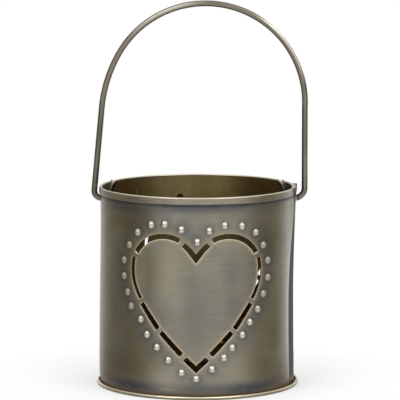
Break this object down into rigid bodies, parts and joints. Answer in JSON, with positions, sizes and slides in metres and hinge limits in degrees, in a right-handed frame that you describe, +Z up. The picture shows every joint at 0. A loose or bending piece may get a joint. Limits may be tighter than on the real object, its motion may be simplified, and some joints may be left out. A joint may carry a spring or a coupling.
{
  "type": "handled candle holder",
  "caption": "Round sheet-metal candle holder with a wire bail, a pierced heart framed by raised studs front and back, a folded rim and a crimped base.",
  "frame": {"origin": "centre of the underside of the base, on the wall's axis, where the holder stands on a table", "axes": "+Z up along the wall's axis; -Y is the front, where the main heart is; +X is the side with the lapped seam; the bail turns about the X direction"},
  "size_m": [0.0897, 0.084, 0.1592],
  "materials": {
    "wall": "antiqued brass plate with a fine horizontal brush and blue-grey patina",
    "base": "antiqued brass plate, rubbed bright on the crimped edge",
    "wire": "satin antiqued brass plate"
  },
  "bodies": {
    "holder": {"shell": "wall", "base": "base"},
    "bail": {"bail": "wire"}
  },
  "joints": [
    {"name": "bail_pivot", "type": "hinge", "parent": "holder", "child": "bail", "pos_m": [0, 0, 0.0773], "axis": [1, 0, 0], "range_deg": [-147, 147]}
  ]
}
